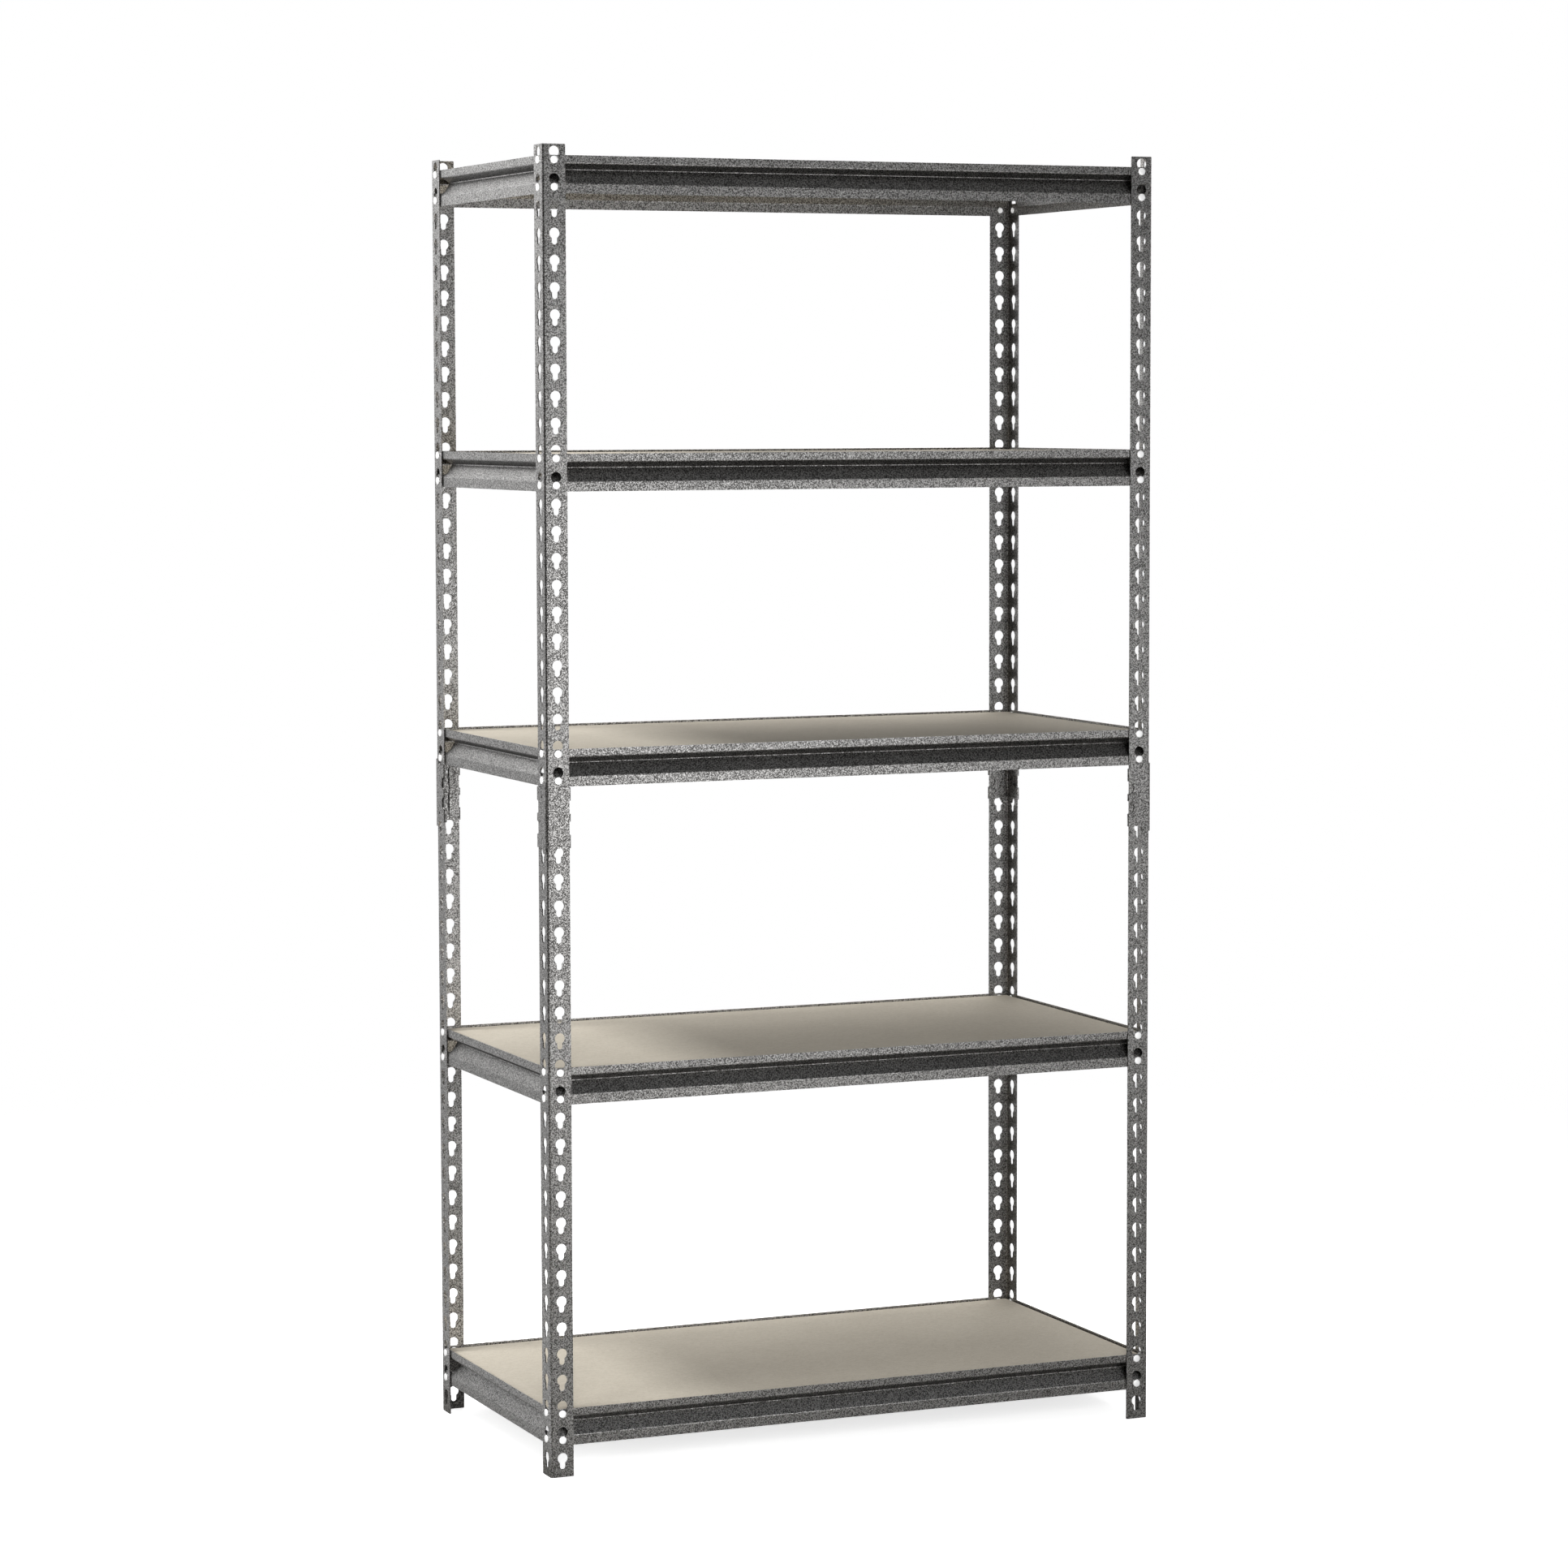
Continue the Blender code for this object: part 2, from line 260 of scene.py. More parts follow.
def bent_sheet(outline, holes, lines, place, thickness):
    """A sheet of even thickness: place turns a pattern point into (point, normal)."""
    flat, tris = triangulate(outline, holes, lines)
    placed = [place(p.x, p.y) for p in flat]
    outer = [p for p, _ in placed]
    out = [n for _, n in placed]
    a, b, c = tris[len(tris) // 2]
    if (outer[b] - outer[a]).cross(outer[c] - outer[a]).dot(out[a]) < 0:
        tris = [(t[0], t[2], t[1]) for t in tris]
    n = len(outer)
    points = outer + [p - thickness * q for p, q in placed]
    faces, normals = [], []
    for t in tris:
        faces.append(t)
        normals += [out[i] for i in t]
        faces.append((n + t[2], n + t[1], n + t[0]))
        normals += [-out[t[2]], -out[t[1]], -out[t[0]]]
    directed = {(t[i], t[(i + 1) % 3]) for t in tris for i in range(3)}
    rim = [e for e in directed if (e[1], e[0]) not in directed]
    rim.sort()
    rim_normal = {}
    for i, j in rim:
        along = outer[j] - outer[i]
        rim_normal[(i, j)] = along.cross(out[i] + out[j]).normalized()
    starts = {i: (i, j) for i, j in rim}
    ends = {j: (i, j) for i, j in rim}
    for e in rim:
        i, j = e
        mine = rim_normal[e]
        shown = []
        for k, other in ((j, starts[j]), (i, ends[i])):
            near = rim_normal[other]
            shown.append((mine + near).normalized() if mine.dot(near) > 0.8 else mine)
        faces.append((j, i, n + i, n + j))
        normals += [shown[0], shown[1], shown[1], shown[0]]
    shape = Shape()
    shape.add(points, faces, normals)
    return shape


def revolve(profile, origin, axis, count=20):
    """A turned body: profile of (radius, height) from one pole to the other."""
    axis = Vector(axis).normalized()
    u = axis.orthogonal().normalized()
    v = axis.cross(u)
    ring = [u * math.cos(2 * math.pi * k / count) + v * math.sin(2 * math.pi * k / count)
            for k in range(count)]
    slopes = []
    for i in range(len(profile) - 1):
        (r0, h0), (r1, h1) = profile[i], profile[i + 1]
        slopes.append(Vector((h1 - h0, r0 - r1)).normalized())
    points, rows = [], []
    for r, h in profile:
        if r == 0:
            rows.append([len(points)] * count)
            points.append(Vector(origin) + axis * h)
        else:
            rows.append(list(range(len(points), len(points) + count)))
            points += [Vector(origin) + axis * h + d * r for d in ring]
    faces, normals = [], []

    def corner_normal(i, near, k):
        mine, other = slopes[i], slopes[near] if 0 <= near < len(slopes) else slopes[i]
        s = (mine + other).normalized() if mine.dot(other) > 0.75 else mine
        return (ring[k % count] * s.x + axis * s.y).normalized()

    for i in range(len(profile) - 1):
        for k in range(count):
            m = (k + 1) % count
            a, b, c, d = rows[i][k], rows[i][m], rows[i + 1][m], rows[i + 1][k]
            low = (corner_normal(i, i - 1, k), corner_normal(i, i - 1, m))
            high = (corner_normal(i, i + 1, k), corner_normal(i, i + 1, m))
            if a == b:
                faces.append((a, c, d))
                normals += [axis * slopes[i].y, high[1], high[0]]
            elif c == d:
                faces.append((a, b, c))
                normals += [low[0], low[1], axis * slopes[i].y]
            else:
                faces.append((a, b, c, d))
                normals += [low[0], low[1], high[1], high[0]]
    shape = Shape()
    shape.add(points, faces, normals)
    f = faces[len(faces) // 2]
    way = (points[f[1]] - points[f[0]]).cross(points[f[2]] - points[f[0]])
    if way.dot(normals[sum(len(g) for g in faces[:len(faces) // 2])]) < 0:
        flipped_faces, flipped_normals, at = [], [], 0
        for g in faces:
            flipped_faces.append(tuple(reversed(g)))
            flipped_normals += list(reversed(normals[at:at + len(g)]))
            at += len(g)
        shape.faces, shape.normals = flipped_faces, flipped_normals
    return shape


def make_piece(name, shape, turn_deg, location, material, body, nodes):
    """Places a shape in the row frame and lets it ride on its body."""
    spin = Matrix.Rotation(math.radians(turn_deg), 3, "Z")
    move = Vector(location)
    mesh = bpy.data.meshes.new(name)
    mesh.from_pydata([spin @ p * MM + move for p in shape.points], [], shape.faces)
    mesh.polygons.foreach_set("use_smooth", [True] * len(mesh.polygons))
    mesh.normals_split_custom_set([(spin @ q).normalized() for q in shape.normals])
    mesh.materials.append(material)
    obj = bpy.data.objects.new(name, mesh)
    bpy.context.scene.collection.objects.link(obj)
    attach(obj, body)
    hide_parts(*nodes)
    return obj


# ------------------------------------------------------------------ materials
class Nodes:
    """Short calls for building a node material."""

    def __init__(self, tree):
        self.tree = tree

    def new(self, kind, **values):
        node = self.tree.nodes.new(kind)
        for key, value in values.items():
            setattr(node, key, value)
        return node

    def link(self, a, b):
        self.tree.links.new(a, b)

    def noise(self, coords, scale, detail=2.0, rough=0.5, distort=0.0):
        node = self.new("ShaderNodeTexNoise")
        node.inputs["Scale"].default_value = scale
        node.inputs["Detail"].default_value = detail
        node.inputs["Roughness"].default_value = rough
        node.inputs["Distortion"].default_value = distort
        self.link(coords, node.inputs["Vector"])
        return node.outputs["Fac"]

    def voronoi(self, coords, scale, feature="F1", smooth=0.5, out="Distance"):
        node = self.new("ShaderNodeTexVoronoi", feature=feature)
        node.inputs["Scale"].default_value = scale
        if feature == "SMOOTH_F1":
            node.inputs["Smoothness"].default_value = smooth
        self.link(coords, node.inputs["Vector"])
        return node.outputs[out]

    def mapped(self, value, a, b, c, d, smooth=False):
        node = self.new("ShaderNodeMapRange")
        if smooth:
            node.interpolation_type = "SMOOTHSTEP"
        for key, number in zip(("From Min", "From Max", "To Min", "To Max"), (a, b, c, d)):
            node.inputs[key].default_value = number
        self.link(value, node.inputs["Value"])
        return node.outputs["Result"]

    def math(self, kind, a, b):
        node = self.new("ShaderNodeMath", operation=kind)
        for socket, value in zip(node.inputs, (a, b)):
            if isinstance(value, (int, float)):
                socket.default_value = value
            else:
                self.link(value, socket)
        return node.outputs[0]

    def mix(self, fac, a, b, blend="MIX"):
        node = self.new("ShaderNodeMix", data_type="RGBA", blend_type=blend)
        for socket, value in ((node.inputs[0], fac), (node.inputs[6], a), (node.inputs[7], b)):
            if isinstance(value, (int, float)):
                socket.default_value = value
            elif isinstance(value, tuple):
                socket.default_value = (*value, 1.0) if len(value) == 3 else value
            else:
                self.link(value, socket)
        return node.outputs[2]

    def stretched(self, coords, scale):
        node = self.new("ShaderNodeMapping")
        node.inputs["Scale"].default_value = scale
        self.link(coords, node.inputs["Vector"])
        return node.outputs["Vector"]

    def tilted(self, coords):
        """Turned off every flat face of the object, so no face lies along the noise's lattice."""
        node = self.new("ShaderNodeMapping")
        node.inputs["Rotation"].default_value = (0.6, 0.5, 0.4)
        self.link(coords, node.inputs["Vector"])
        return node.outputs["Vector"]

    def bump(self, height, strength, distance, normal=None):
        node = self.new("ShaderNodeBump")
        node.inputs["Strength"].default_value = strength
        node.inputs["Distance"].default_value = distance
        self.link(height, node.inputs["Height"])
        if normal is not None:
            self.link(normal, node.inputs["Normal"])
        return node.outputs["Normal"]


def new_material(name):
    mat = bpy.data.materials.new(name)
    mat.use_nodes = True
    tree = mat.node_tree
    shader = tree.nodes["Principled BSDF"]
    n = Nodes(tree)
    coords = n.new("ShaderNodeTexCoord")
    return mat, n, shader, coords


def silver_vein_paint():
    """Hammertone powder coat: metallic worms over a darker base, mostly relief."""
    mat, n, shader, coords = new_material("silver_vein_paint")
    at = n.tilted(coords.outputs["Object"])
    worms = n.noise(at, 630.0, detail=1.0, rough=0.4, distort=0.7)
    fine = n.noise(at, 1500.0, detail=1.0, rough=0.5)
    broad = n.noise(at, 9.0, detail=3.0, rough=0.6)
    mask = n.mapped(worms, 0.43, 0.57, 0.0, 1.0, smooth=True)
    mask = n.math("MULTIPLY", mask, n.mapped(fine, 0.3, 0.7, 0.8, 1.0))
    colour = n.mix(mask, (0.155, 0.151, 0.147), (0.72, 0.71, 0.70))
    colour = n.mix(1.0, colour, n.mapped(broad, 0.3, 0.7, 0.94, 1.04), blend="MULTIPLY")
    n.link(colour, shader.inputs["Base Color"])
    n.link(n.mapped(mask, 0.0, 1.0, 0.38, 0.28), shader.inputs["Roughness"])
    shader.inputs["Metallic"].default_value = 1.0
    shader.inputs["Specular IOR Level"].default_value = 0.5
    n.link(n.bump(worms, 0.8, 0.0005), shader.inputs["Normal"])
    return mat


def zinc():
    """Bright zinc plating with a light tumbled grain."""
    mat, n, shader, coords = new_material("zinc_rivet")
    at = n.tilted(coords.outputs["Object"])
    grain = n.noise(at, 1400.0, detail=3.0, rough=0.6)
    cloud = n.noise(at, 260.0, detail=2.0)
    colour = n.mix(n.mapped(cloud, 0.35, 0.65, 0.0, 1.0), (0.93, 0.93, 0.93), (0.98, 0.98, 0.975))
    n.link(colour, shader.inputs["Base Color"])
    n.link(n.mapped(grain, 0.3, 0.7, 0.30, 0.44), shader.inputs["Roughness"])
    shader.inputs["Metallic"].default_value = 0.25
    n.link(n.bump(grain, 0.12, 0.0002), shader.inputs["Normal"])
    return mat


def particle_board():
    """Raw particle board: pressed fine flakes, with a coarser core at the edges; the underside
    carries painted shade.
    """
    mat, n, shader, coords = new_material("particle_board")
    at = coords.outputs["Object"]
    cloud = n.noise(at, 7.0, detail=4.0, rough=0.6)
    flakes = n.noise(n.stretched(at, (1.0, 0.55, 1.0)), 260.0, detail=4.0, rough=0.65)
    cells = n.voronoi(n.stretched(at, (0.6, 1.0, 1.0)), 330.0, out="Color")
    chip = n.new("ShaderNodeSeparateColor")
    n.link(cells, chip.inputs[0])
    specks = n.mapped(n.noise(at, 520.0, detail=1.0), 0.66, 0.74, 0.0, 1.0)
    base = n.mix(n.mapped(cloud, 0.3, 0.7, 0.0, 1.0), (0.550, 0.496, 0.405), (0.615, 0.561, 0.463))
    base = n.mix(0.30, base, n.mix(chip.outputs[0], (0.47, 0.42, 0.34), (0.70, 0.65, 0.56)))
    base = n.mix(n.mapped(flakes, 0.35, 0.65, 0.0, 0.30), base, (0.68, 0.63, 0.54))
    base = n.mix(n.math("MULTIPLY", specks, 0.45), base, (0.27, 0.21, 0.14))
    normal = n.new("ShaderNodeSeparateXYZ")
    n.link(coords.outputs["Normal"], normal.inputs[0])
    level = n.math("ABSOLUTE", normal.outputs["Z"], 0.0)
    edge = n.mapped(level, 0.45, 0.75, 1.0, 0.0)
    core = n.noise(n.stretched(at, (0.5, 0.5, 1.6)), 420.0, detail=3.0, rough=0.7)
    core_colour = n.mix(n.mapped(core, 0.38, 0.62, 0.0, 1.0), (0.40, 0.32, 0.22), (0.66, 0.58, 0.45))
    # Painted shade: faces turned downward are darkened to 0.35 of the top's colour, standing in for
    # the shade under each board.
    painted_underside_shade = n.mapped(normal.outputs["Z"], -0.75, -0.45, 0.35, 1.0)
    base = n.mix(1.0, base, painted_underside_shade, blend="MULTIPLY")
    n.link(n.mix(edge, base, core_colour), shader.inputs["Base Color"])
    n.link(n.mapped(flakes, 0.3, 0.7, 0.62, 0.80), shader.inputs["Roughness"])
    shader.inputs["Specular IOR Level"].default_value = 0.18
    height = n.mix(edge, n.mapped(flakes, 0.0, 1.0, 0.0, 0.35), core)
    n.link(n.bump(height, 0.35, 0.0006), shader.inputs["Normal"])
    return mat


PAINT = silver_vein_paint()
ZINC = zinc()
BOARD = particle_board()


# ---------------------------------------------------------------------- posts
def keyhole(x, z_mid):
    """Round entry over a slot with a round end."""
    round_z = z_mid + KEY_ROUND_UP
    slot_z = z_mid - KEY_BOTTOM + KEY_SLOT_HALF
    start = -math.acos(KEY_SLOT_HALF / KEY_ROUND_R)
    end = math.pi - start
    loop = [Vector((x + KEY_ROUND_R * math.cos(start + (end - start) * k / 20),
                    round_z + KEY_ROUND_R * math.sin(start + (end - start) * k / 20)))
            for k in range(21)]
    loop += [Vector((x + KEY_SLOT_HALF * math.cos(math.pi + math.pi * k / 8),
                     slot_z + KEY_SLOT_HALF * math.sin(math.pi + math.pi * k / 8)))
             for k in range(9)]
    return loop


def post_half(bottom):
    w = POST_FLANGE
    path = Path([(0, w), (0, 0), (w, 0)], [POST_BEND])
    total = path.length
    ends = [(0, bottom), (total, bottom), (total, HALF_LEN), (0, HALF_LEN)]
    holes = []
    for k in range(HOLES_PER_HALF):
        z_mid = HALF_LEN - FIRST_HOLE_DOWN - k * PITCH
        for u in (w - HOLE_FROM_CORNER, total - w + HOLE_FROM_CORNER):
            holes.append(keyhole(u, z_mid))
    lines = [((u, bottom - 1), (u, HALF_LEN + 1)) for u in path.bends]

    def place(u, z):
        p, q = path.at(u)
        return Vector((p.x, p.y, z)), Vector((q.x, q.y, 0))

    return bent_sheet(rounded(ends, [1.2] * 4), holes, lines, place, POST_SHEET)


def coupler():
    """Sleeve folded round both legs of a post, open at the folds in two windows."""
    skin = -GAP - COUPLER_SHEET
    edge = POST_FLANGE + GAP + COUPLER_SHEET
    far = POST_SHEET + GAP + COUPLER_SHEET
    strip = POST_FLANGE + GAP - COUPLER_STRIP
    path = Path([(far, strip), (far, edge), (skin, edge), (skin, skin),
                 (edge, skin), (edge, far), (strip, far)],
                [2.3, 2.3, POST_BEND + GAP + COUPLER_SHEET, 2.3, 2.3])
    total = path.length
    low, high = COUPLER_HALF_EDGE, COUPLER_HALF_CORNER
    steps = [path.u_of(skin, COUPLER_STEP_FAR), path.u_of(skin, COUPLER_STEP_NEAR),
             path.u_of(COUPLER_STEP_NEAR, skin), path.u_of(COUPLER_STEP_FAR, skin)]
    end = list(zip([0.0] + steps + [total], (low, low, high, high, low, low)))
    outline = rounded([(u, -z) for u, z in end] + end[::-1],
                      [3.0, 2.2, 1.6, 1.6, 2.2, 3.0] * 2)
    holes = []
    a, b = path.u_of(far, edge - 10.2), path.u_of(skin, edge - 9.4)
    for z0, z1 in ((-23.5, -5.2), (5.2, 23.5)):
        for u0, u1 in ((a, b), (total - b, total - a)):
            holes.append(rounded([(u0, z0), (u1, z0), (u1, z1), (u0, z1)], [7.5] * 4))
    middle = 14.6
    for u, z in ((path.u_of(skin, middle), 29.0), (path.u_of(middle, skin), -29.0)):
        holes.append(circle(u, z, 2.0, 14))
    for u, z in ((path.u_of(far, strip + 6.5), 29.0), (path.u_of(strip + 6.5, far), -29.0)):
        holes.append(circle(u, z, 2.2, 14))
    lines = [((u, -high - 2), (u, high + 2)) for u in path.bends]

    def place(u, z):
        p, q = path.at(u)
        return Vector((p.x, p.y, z)), Vector((q.x, q.y, 0))

    return bent_sheet(outline, holes, lines, place, COUPLER_SHEET)


def corner_of(node, turn):
    """Outer corner of a post piece, from its CAD box."""
    lo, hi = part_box(node)
    return Vector((lo.x if turn in (0, 270) else hi.x, lo.y if turn in (0, 90) else hi.y, lo.z))


halves = {"lower": post_half(0.0), "upper": post_half(GAP)}
sleeve = coupler()
for where, turn in CORNERS.items():
    for part, shape in halves.items():
        node = "post_%s_%s" % (part, where)
        at = corner_of(node, turn)
        if part == "upper":
            at.z = cad_hi.z - HALF_LEN * MM
        make_piece(node + "_steel", shape, turn, at, PAINT, "posts", [node])
    node = "post_coupler_%s" % where
    lo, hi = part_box(node)
    at = corner_of("post_lower_" + where, turn)
    at.z = (lo.z + hi.z) / 2
    make_piece(node + "_steel", sleeve, turn, at, PAINT, "posts", [node])


# ---------------------------------------------------------------------- beams
def smooth_step(x):
    x = min(max(x, 0.0), 1.0)
    return x * x * (3 - 2 * x)


def beam(length, coped):
    """Roll-formed beam: flange, slanted ledge, slope, flange. A coped one ends in two flat tabs."""
    path = Path([(0, 0), (0, -UPPER_FLANGE), (LEDGE_DEPTH, -GROOVE), (0, -SLOPE_BOTTOM),
                 (0, -BEAM_HEIGHT)], [2.6, 1.6, 4.0], step_deg=11.0)
    total = path.length
    half, cope = length / 2, length / 2 - COPE
    upper, lower = UPPER_FLANGE - 0.2, total - (BEAM_HEIGHT - LOWER_TAB_TOP)
    right = [(half, 0), (half, upper), (cope, upper), (cope, lower), (half, lower), (half, total)]
    radii = [1.5, 5.0, 4.5, 4.5, 3.0, 2.0]
    if not coped:
        right, radii = [(half, 0), (half, total)], [1.5, 1.5]
    outline = rounded(right + [(-x, u) for x, u in reversed(right)],
                      radii + list(reversed(radii)))
    in_from_end = HOLE_FROM_CORNER - BEAM_END
    low_rivet = total - (BEAM_HEIGHT - RIVET_BELOW_TOP - PITCH)
    holes = [circle(s * (half - in_from_end), u, SHANK_R + 0.05, 18)
             for s in (-1, 1) for u in (RIVET_BELOW_TOP, low_rivet)]
    lines = [((-half - 1, u), (half + 1, u)) for u in path.bends]
    for s in (-1, 1) if coped else ():
        for off in (0.0, 1.5, 3.0, 4.5, 6.0, 8.0):
            x = s * (cope + off)
            lines.append(((x, upper - 4.0), (x, upper + 1.0)))
            lines.append(((x, lower - 1.0), (x, lower + 7.5)))

    def place(x, u):
        p, q = path.at(u)
        flat = smooth_step((abs(x) - cope) / 8.0) if coped else 0.0
        if flat > 0:
            z = -u if u < total / 2 else -BEAM_HEIGHT + (total - u)
            p = p.lerp(Vector((0, z)), flat)
            q = q.lerp(Vector((-1, 0)), flat).normalized()
        return Vector((x, p.x, p.y)), Vector((0, q.x, q.y))

    return bent_sheet(outline, holes, lines, place, BEAM_SHEET)


def rivet_profile():
    """Half section from the head's crown to the clinched tail, heights along +Y."""
    out = [(0.0, HEAD_TOP), (2.6, HEAD_TOP + 0.03), (4.0, HEAD_TOP + 0.13), (4.65, HEAD_TOP + 0.40)]
    rim_y, rim_r = HEAD_TOP + 0.95, 0.47
    for k in range(1, 4):
        a = math.radians(30 * k)
        out.append((HEAD_R - rim_r + rim_r * math.sin(a), rim_y - rim_r * math.cos(a)))
    out += [(HEAD_R, HEAD_BASE + 0.15), (HEAD_R - 0.15, HEAD_BASE), (SHANK_R, HEAD_BASE),
            (SHANK_R, BEAM_SHEET + 0.02)]
    out += [(4.15, BEAM_SHEET + 0.05), (4.25, BEAM_SHEET + 0.5), (3.9, BEAM_SHEET + 0.95),
            (3.35, BEAM_SHEET + 1.1), (2.75, BEAM_SHEET + 0.9), (2.4, BEAM_SHEET + 0.45),
            (1.5, BEAM_SHEET + 0.35), (0.9, BEAM_SHEET + 0.65), (0.0, BEAM_SHEET + 0.75)]
    return out


def rivets(length):
    shape = Shape()
    for s in (-1, 1):
        for z in (-RIVET_BELOW_TOP, -RIVET_BELOW_TOP - PITCH):
            one = revolve(rivet_profile(),
                          (s * (length / 2 - HOLE_FROM_CORNER + BEAM_END), 0, z), (0, 1, 0))
            shape.add(one.points, one.faces, one.normals)
    return shape


def beam_place(node, turn):
    """Middle of a beam's outer face at its top edge, and its length, from its CAD box.

    The CAD beam's rivet heads stand out past the outer face by a known amount.
    """
    lo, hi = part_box(node)
    mid = (lo + hi) / 2
    proud = 4.1 * MM
    if turn == 0:
        return Vector((mid.x, lo.y + proud, hi.z)), hi.x - lo.x
    if turn == 180:
        return Vector((mid.x, hi.y - proud, hi.z)), hi.x - lo.x
    if turn == 90:
        return Vector((hi.x - proud, mid.y, hi.z)), hi.y - lo.y
    return Vector((lo.x + proud, mid.y, hi.z)), hi.y - lo.y


beam_shapes, rivet_shapes = {}, {}
for level in LEVEL_NAMES:
    for side, turn in SIDES.items():
        node = "beam_%s_%s" % (side, level)
        at, length = beam_place(node, turn)
        key = round(length / MM, 2)
        if key not in beam_shapes:
            coped = side in ("left", "right")
            beam_shapes[key], rivet_shapes[key] = beam(key, coped), rivets(key)
        body = "frame_" + level
        make_piece(node + "_steel", beam_shapes[key], turn, at, PAINT, body, [node])
        make_piece(node + "_rivets", rivet_shapes[key], turn, at, ZINC, body, [node])


# --------------------------------------------------------------------- boards
def slab(size_x, size_y, thick, corner_r, bevel):
    """Board with broken edges, centred in X and Y, top on Z = 0."""
    def ring(inset):
        x, y, r = size_x / 2 - inset, size_y / 2 - inset, max(corner_r - inset, 0.05)
        pts = []
        for cx, cy, a0 in ((x - r, y - r, 0), (-x + r, y - r, 90), (-x + r, -y + r, 180),
                           (x - r, -y + r, 270)):
            for k in range(5):
                a = math.radians(a0 + 22.5 * k)
                pts.append((Vector((cx + r * math.cos(a), cy + r * math.sin(a))),
                            Vector((math.cos(a), math.sin(a)))))
        return pts

    rows = []
    for k in range(4):
        a = math.radians(30 * k)
        rows.append((bevel * (1 - math.sin(a)), -bevel * (1 - math.cos(a)), math.sin(a), math.cos(a)))
    for k in range(4):
        a = math.radians(30 * k)
        rows.append((bevel * (1 - math.cos(a)), -thick + bevel * (1 - math.sin(a)),
                     math.cos(a), -math.sin(a)))
    points, faces, normals = [], [], []
    corner_n = []
    for inset, z, out, up in rows:
        made = ring(inset)
        points += [Vector((p.x, p.y, z)) for p, _ in made]
        corner_n.append([Vector((d.x * out, d.y * out, up)) for _, d in made])
    n = 20
    for i in range(len(rows) - 1):
        for k in range(n):
            m = (k + 1) % n
            faces.append((i * n + k, (i + 1) * n + k, (i + 1) * n + m, i * n + m))
            normals += [corner_n[i][k], corner_n[i + 1][k], corner_n[i + 1][m], corner_n[i][m]]
    faces.append(tuple(range(n)))
    normals += [Vector((0, 0, 1))] * n
    last = (len(rows) - 1) * n
    faces.append(tuple(reversed(range(last, last + n))))
    normals += [Vector((0, 0, -1))] * n
    shape = Shape()
    shape.add(points, faces, normals)
    return shape


for level in LEVEL_NAMES:
    node = "shelf_board_" + level
    lo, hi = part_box(node)
    size = (hi - lo) / MM
    make_piece(node + "_panel", slab(size.x, size.y, size.z, 1.5, 0.5), 0,
               Vector(((lo.x + hi.x) / 2, (lo.y + hi.y) / 2, hi.z)), BOARD,
               "board_" + level, [node])


# ----------------------------------------------------------------- the studio
def area_light(name, location, target, width, height, power, colour=(1, 1, 1)):
    data = bpy.data.lights.new(name, "AREA")
    data.shape = "RECTANGLE"
    data.size, data.size_y = width, height
    data.energy = power
    data.color = colour
    obj = bpy.data.objects.new(name, data)
    bpy.context.scene.collection.objects.link(obj)
    obj.location = location
    obj.rotation_euler = (Vector(target) - Vector(location)).to_track_quat("-Z", "Y").to_euler()
    obj.visible_camera = False
    return obj


def glow_panel(name, corners, strength, falls):
    """A glowing studio panel, seen only in first reflections; falls = (axis, stops) curves.

    Reflections of reflections see it dimly, which keeps the beams' grooves dark.
    """
    mesh = bpy.data.meshes.new(name)
    mesh.from_pydata([Vector(c) for c in corners], [], [(0, 1, 2, 3)])
    obj = bpy.data.objects.new(name, mesh)
    bpy.context.scene.collection.objects.link(obj)
    mat = bpy.data.materials.new(name)
    mat.use_nodes = True
    tree = mat.node_tree
    tree.nodes.remove(tree.nodes["Principled BSDF"])
    p = Nodes(tree)
    where = p.new("ShaderNodeTexCoord")
    split = p.new("ShaderNodeSeparateXYZ")
    p.link(where.outputs["Object"], split.inputs[0])
    total = strength
    for along, stops in falls:
        ramp = p.new("ShaderNodeFloatCurve")
        lo, hi = stops[0][0], stops[-1][0]
        p.link(p.mapped(split.outputs[along], lo, hi, 0.0, 1.0), ramp.inputs["Value"])
        curve = ramp.mapping.curves[0]
        while len(curve.points) < len(stops):
            curve.points.new(0.5, 0.5)
        for point, (x, v) in zip(curve.points, stops):
            point.location = ((x - lo) / (hi - lo), v)
            point.handle_type = "VECTOR"
        ramp.mapping.update()
        total = p.math("MULTIPLY", ramp.outputs[0], total)
    path_of = p.new("ShaderNodeLightPath")
    direct = p.mapped(path_of.outputs["Ray Depth"], 1.0, 2.0, 1.0, 0.12)
    total = p.math("MULTIPLY", direct, total)
    glow = p.new("ShaderNodeEmission")
    p.link(total, glow.inputs["Strength"])
    p.link(glow.outputs[0], tree.nodes["Material Output"].inputs["Surface"])
    mesh.materials.append(mat)
    obj.visible_camera = False
    obj.visible_shadow = False
    obj.visible_diffuse = False
    return obj


def upright(x0, x1, y, z0, z1):
    return [(x0, y, z0), (x1, y, z0), (x1, y, z1), (x0, y, z1)]


glow_panel("panel_front", upright(-0.30, 2.4, -3.2, 0.10, 1.58), 2.5,
           [("X", [(-0.30, 0.66), (0.5, 0.86), (1.0, 1.0), (1.6, 0.50), (2.4, 0.10)]),
            ("Z", [(0.10, 0.44), (0.5, 0.9), (1.28, 1.0), (1.58, 0.26)])])
glow_panel("panel_front_high", upright(-0.3, 2.1, -3.2, 2.60, 3.80), 0.50,
           [("X", [(-0.3, 1.0), (1.2, 1.0), (2.1, 0.5)]),
            ("Z", [(2.60, 1.0), (3.2, 0.9), (3.80, 0.4)])])
glow_panel("panel_top", [(-1.2, -2.2, 3.6), (2.0, -2.2, 3.6), (2.0, -0.6, 3.6), (-1.2, -0.6, 3.6)],
           0.14, [("Y", [(-2.2, 0.6), (-1.4, 1.0), (-0.6, 1.0)])])
